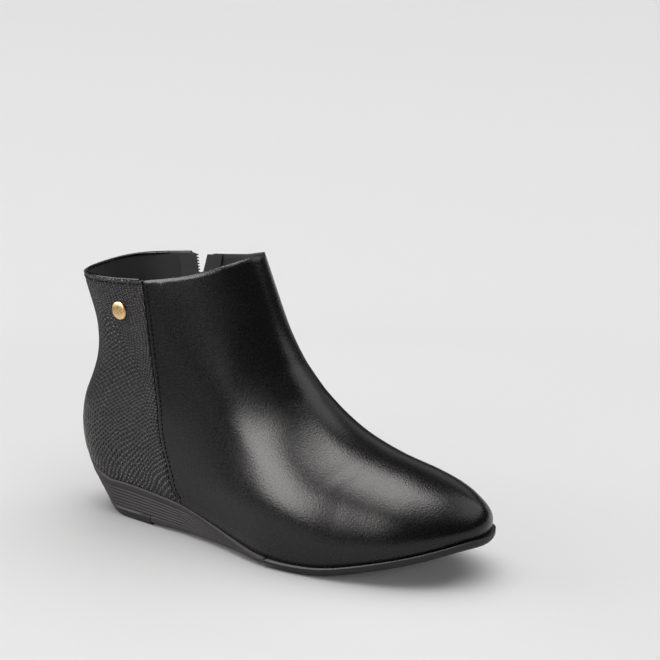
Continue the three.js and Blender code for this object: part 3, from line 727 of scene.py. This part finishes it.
def refinish(node, finish, edge):
    """Rounds the edges of a CAD node, by a width in mm, and gives it a finish."""
    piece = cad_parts[node]
    piece.data.materials.clear()
    piece.data.materials.append(finish)
    weld = piece.modifiers.new("weld", "WELD")
    weld.merge_threshold = WELD_GAP
    bevel = piece.modifiers.new("bevel", "BEVEL")
    bevel.width = edge * MM
    bevel.segments = 3
    bevel.limit_method = "ANGLE"
    bevel.angle_limit = math.radians(40)
    normals = piece.modifiers.new("normals", "WEIGHTED_NORMAL")
    normals.keep_sharp = False
    piece.data.shade_smooth()
    print(node, "edges rounded by", edge, "mm")


for node in ("zip_tape_rear", "zip_tape_front"):
    refinish(node, tape_cloth, TAPE_EDGE)
for node in ("zip_slider", "zip_pull"):
    refinish(node, lacquer, CAST_EDGE)
stud = smooth_copy("badge", "gilt_stud", 2, corner=70)
stud.data.materials.append(gilt)
stud_middle = sum((v.co for v in stud.data.vertices), Vector()) / len(stud.data.vertices)
stud.data.transform(Matrix.Translation(panel_skin.find_nearest(stud_middle)[1] * STUD_PROUD * MM))
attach(stud, "boot")
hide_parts("badge")

# %% [markdown]
# ## Stitches
# Two rows of black thread hold the vamp to the heel panel, two run down the front of the zip and one behind
# it, and one runs under the collar of the panel. Each stitch is a small rounded bar that dips into the
# leather at both ends. The rows are guide lines beside the seams, laid on the leather by finding the
# nearest point of its surface.

# %% Thread
thread, tree = material("waxed_polyester_thread")
place = add(tree, "ShaderNodeTexCoord").outputs["Object"]
twist = add(tree, "ShaderNodeTexWave", {"Vector": place, "Scale": 600.0}, bands_direction="DIAGONAL")
bump = add(
    tree, "ShaderNodeBump", {"Height": twist.outputs["Fac"], "Strength": 0.5, "Distance": 0.1 * MM}
)
shader = add(
    tree,
    "ShaderNodeBsdfPrincipled",
    {"Base Color": srgb("020202"), "Roughness": 0.9, "IOR": 1.2, "Normal": bump.outputs[0]},
)
add(tree, "ShaderNodeOutputMaterial", {"Surface": shader.outputs[0]})
print("finish", thread.name)

# %% Sewing a row
STITCH_PITCH = 2.7
STITCH_LENGTH = 0.8 * STITCH_PITCH
THREAD_WIDTH = 0.85
THREAD_HEIGHT = 0.8 * THREAD_WIDTH
THREAD_LIFT = 0.05
GUIDE_STEP = 0.25


def laid(points, surface):
    """Even places, a stitch apart, along guide points that are laid on a surface, with their normals."""
    fine = []
    for a, b in zip(points, points[1:]):
        steps = max(1, int((b - a).length / (GUIDE_STEP * MM)))
        for i in range(steps):
            fine.append(surface.find_nearest(a.lerp(b, i / steps))[:2])
    places = [fine[0]]
    travelled = 0.0
    for (p, _), (q, normal) in zip(fine, fine[1:]):
        travelled += (q - p).length
        if travelled >= STITCH_PITCH * MM:
            places.append((q, normal))
            travelled -= STITCH_PITCH * MM
    return places


def stitch_row(name, rows, surface):
    """Stitches along several guide lines in mm, as one piece."""
    bm = bmesh.new()
    count = 0
    size = Matrix.Diagonal((STITCH_LENGTH, THREAD_WIDTH, THREAD_HEIGHT, 1.0))
    lying = Matrix.Rotation(math.pi / 2, 4, "Y")
    for row in rows:
        places = laid([Vector(p) * MM for p in row], surface)
        for (p, normal), (q, _) in zip(places, places[1:]):
            along = (q - p).normalized()
            side = normal.cross(along).normalized()
            turn = Matrix((along, side, normal)).transposed().to_4x4()
            turn.translation = p.lerp(q, 0.5) + normal * THREAD_LIFT * MM
            made = bmesh.ops.create_uvsphere(bm, u_segments=6, v_segments=4, radius=0.5 * MM)["verts"]
            bmesh.ops.transform(bm, matrix=turn @ size @ lying, verts=made)
            count += 1
    made = keep(bm, name)
    made.data.shade_smooth()
    made.data.materials.append(thread)
    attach(made, "boot")
    print(name, count, "stitches")


# %% Seams
SEAM = [(-47.4, -25.5, 18.5), (-53.4, -26.3, 25.6), (-57.0, -25.9, 37.3), (-60.7, -25.8, 48.6)]
SEAM += [(-62.5, -26.2, 59.2), (-62.7, -26.6, 68.9), (-63.8, -26.3, 80.2), (-65.9, -25.8, 93.4)]
SEAM += [(-67.9, -25.6, 108.4), (-69.8, -25.9, 125.4), (-71.9, -26.4, 143.4)]
COLLAR = [(-73.0, -26.4, 143.8), (-88.9, -26.5, 142.0), (-104.2, -26.2, 141.3), (-116.0, -20.5, 140.6)]
COLLAR += [(-123.6, -9.9, 139.1), (-126.3, 3.1, 138.2), (-124.0, 15.3, 138.9), (-117.5, 25.5, 140.5)]
COLLAR += [(-107.1, 31.8, 141.8), (-93.8, 32.7, 143.7), (-79.4, 32.7, 145.7)]
ZIP_REAR = [(-66.2, 30.4, 49.2), (-68.3, 31.2, 59.9), (-68.5, 31.8, 69.9), (-69.1, 31.9, 81.5)]
ZIP_REAR += [(-71.4, 31.6, 94.9), (-73.7, 31.7, 110.1), (-75.9, 32.2, 127.3), (-78.2, 32.7, 144.0)]
ZIP_WIDTH = 7.6


def ahead(line, x, z=0.0):
    """A guide line moved along X and Z, in mm."""
    return [(p[0] + x, p[1], p[2] + z) for p in line]


ZIP_FRONT = ahead(ZIP_REAR, ZIP_WIDTH)[:-2]
ZIP_FRONT += [(-67.9, 32.2, 127.3), (-64.4, 32.0, 136.5), (-61.0, 31.5, 145.5)]
upper_skin = surface_of(upper)
stitch_row("seam_stitches", [ahead(SEAM, 0.9), ahead(SEAM, 3.4)], upper_skin)
stitch_row("zip_stitches_front", [ahead(ZIP_FRONT, 0.6), ahead(ZIP_FRONT, 3.2)], upper_skin)
stitch_row("zip_stitches_rear", [ahead(ZIP_REAR, -1.6)], panel_skin)
stitch_row("collar_stitches", [ahead(COLLAR, 0.0, -2.4)], panel_skin)

# %% [markdown]
# ## Turned collar edge
# At the heel the lizard leather is folded over the collar and closes with the lining. A fold is a smooth
# roll, so the edge is swept: a small round profile follows the rim from the seam round the back to the zip.
# The sweep is a curve with a bevel, turned into a mesh once it is right.

# %% Collar roll
COLLAR_MIDDLE = Vector((-92.0, 3.1))
ROLL_RADIUS = 0.95
ROLL_INSET = 0.9
ROLL_DROP = 0.15


def inwards(line, inset, drop):
    """A line round the collar, moved towards the middle of the shaft and down, in mm."""
    moved = []
    for x, y, height in line:
        out = (Vector((x, y)) - COLLAR_MIDDLE).normalized()
        moved.append((x - out.x * inset, y - out.y * inset, height - drop))
    return moved


def roll(name, points, radius):
    """A round bead through points in mm, as a mesh piece."""
    data = bpy.data.curves.new(name, "CURVE")
    data.dimensions = "3D"
    data.bevel_depth = radius * MM
    data.bevel_resolution = 3
    data.use_fill_caps = True
    data.resolution_u = 6
    spline = data.splines.new("NURBS")
    spline.points.add(len(points) - 1)
    for point, place in zip(spline.points, points):
        point.co = (*(Vector(place) * MM), 1.0)
    spline.order_u = 4
    spline.use_endpoint_u = True
    path = link(name + "_path", data)
    mesh = bpy.data.meshes.new_from_object(path.evaluated_get(bpy.context.evaluated_depsgraph_get()))
    bpy.data.objects.remove(path)
    mesh.name = name
    mesh.shade_smooth()
    print(name, len(mesh.polygons), "faces")
    return link(name, mesh)


heel_roll = roll("collar_roll", inwards(COLLAR, ROLL_INSET, ROLL_DROP), ROLL_RADIUS)
heel_roll.data.materials.append(smooth_leather)
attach(heel_roll, "boot")

# %% [markdown]
# ## Zip teeth
# The zip is a moulded one: each tooth is a small block, clamped on the tape's edge, with a narrower head
# that hooks between two heads of the other row. They replace the CAD model's two plain beads. Below the
# slider the rows mesh, half a pitch apart, and above it they part.

# %% Making a row of teeth
TOOTH_PITCH = 1.7
TOOTH_SIZE = (2.5, 1.15, 1.5)
HEAD_WIDTH = 0.62
HEAD_REACH = 0.12
TOOTH_EDGE = 0.18
TOWARDS_TOE = Vector((1, 0.05, 0))


def spaced(points, start):
    """Places a tooth apart along guide points in mm, each with the line's direction there."""
    places = []
    wanted = start
    travelled = 0.0
    for a, b in zip(points, points[1:]):
        a, b = Vector(a), Vector(b)
        length = (b - a).length
        while wanted <= travelled + length:
            places.append((a.lerp(b, (wanted - travelled) / length), (b - a).normalized()))
            wanted += TOOTH_PITCH
        travelled += length
    return places


def teeth_row(name, line, heads, start, node):
    """One row of teeth in place of a CAD node, with the heads pointing one way. The start is in mm."""
    bm = bmesh.new()
    size = Matrix.Diagonal((*TOOTH_SIZE, 1.0))
    for place, along in spaced(line, start):
        side = (heads - along * heads.dot(along)).normalized()
        out = along.cross(side).normalized()
        out = out if out.y > 0 else -out
        made = bmesh.ops.create_cube(bm, size=MM)["verts"]
        for vert in made:
            if vert.co.x > 0:
                vert.co.y *= HEAD_WIDTH
        turn = Matrix((side, along, out)).transposed().to_4x4()
        turn.translation = (place + side * HEAD_REACH) * MM
        bmesh.ops.transform(bm, matrix=turn @ size, verts=made)
    bmesh.ops.bevel(
        bm,
        geom=bm.edges[:],
        offset=TOOTH_EDGE * MM,
        segments=1,
        profile=0.5,
        affect="EDGES",
        material=-1,
    )
    bmesh.ops.recalc_face_normals(bm, faces=bm.faces)
    made = keep(bm, name)
    made.data.materials.append(lacquer)
    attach(made, "boot")
    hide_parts(node)
    print(name, len(made.data.polygons), "faces")


# %% Teeth
REAR_TEETH = [(-64.5, 29.2, 49.8), (-66.3, 30.0, 59.8), (-66.6, 30.6, 69.7), (-67.2, 30.7, 81.1)]
REAR_TEETH += [(-69.4, 30.4, 94.6), (-71.8, 30.5, 110.0), (-74.0, 31.0, 127.4), (-76.4, 31.5, 145.6)]
FRONT_TEETH = [(-61.8, 29.2, 49.5), (-63.6, 30.0, 59.5), (-63.9, 30.6, 69.3), (-64.5, 30.7, 80.6)]
FRONT_TEETH += [(-66.7, 30.4, 94.2), (-69.1, 30.5, 109.8), (-71.3, 31.0, 127.3), (-69.1, 31.4, 136.4)]
FRONT_TEETH += [(-66.0, 31.1, 145.8)]
FIRST_TOOTH = 0.6
teeth_row("teeth_rear", REAR_TEETH, TOWARDS_TOE, FIRST_TOOTH, "zip_teeth_rear")
teeth_row("teeth_front", FRONT_TEETH, -TOWARDS_TOE, FIRST_TOOTH + TOOTH_PITCH / 2, "zip_teeth_front")
